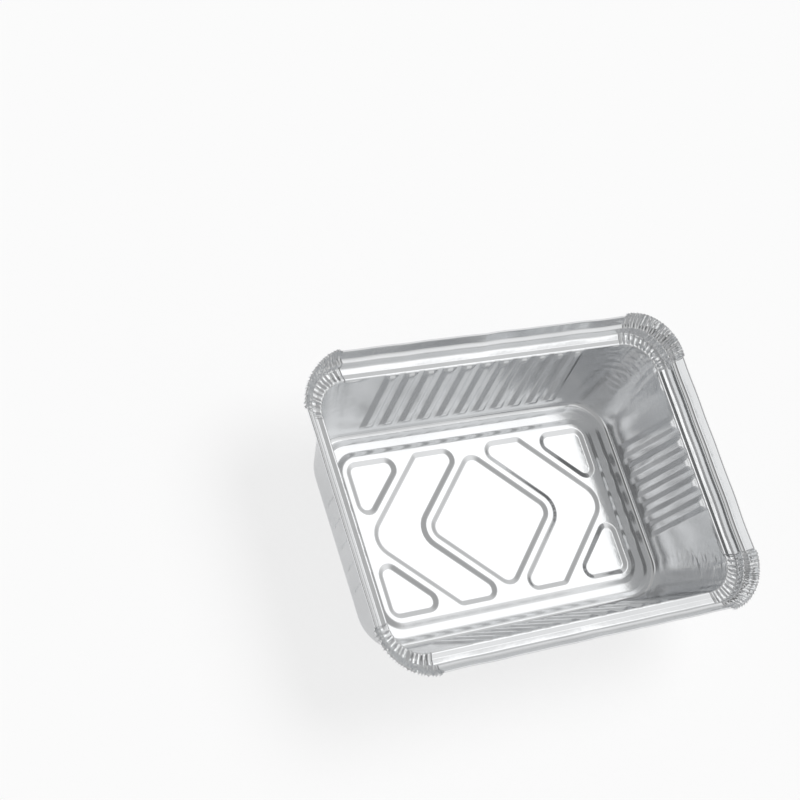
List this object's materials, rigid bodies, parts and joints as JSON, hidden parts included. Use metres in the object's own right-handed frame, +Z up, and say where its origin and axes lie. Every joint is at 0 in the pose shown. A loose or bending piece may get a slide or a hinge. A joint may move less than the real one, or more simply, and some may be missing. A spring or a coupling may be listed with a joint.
{
  "type": "foil food container",
  "caption": "Oblong foil tray with a stepped embossed base, ribbed sloping walls, a level lid ledge, an upright flared rim with a rolled edge, and corners gathered into pleats.",
  "frame": {"origin": "middle of the base, on the surface that the tray stands on", "axes": "+X along the tray's length, +Y across its width, +Z up out of its mouth"},
  "size_m": [0.2212, 0.1595, 0.0538],
  "materials": {
    "foil": "bright stamped foil, mirror-like with soft creases"
  },
  "bodies": {
    "root": {"tray": "foil"}
  },
  "joints": []
}
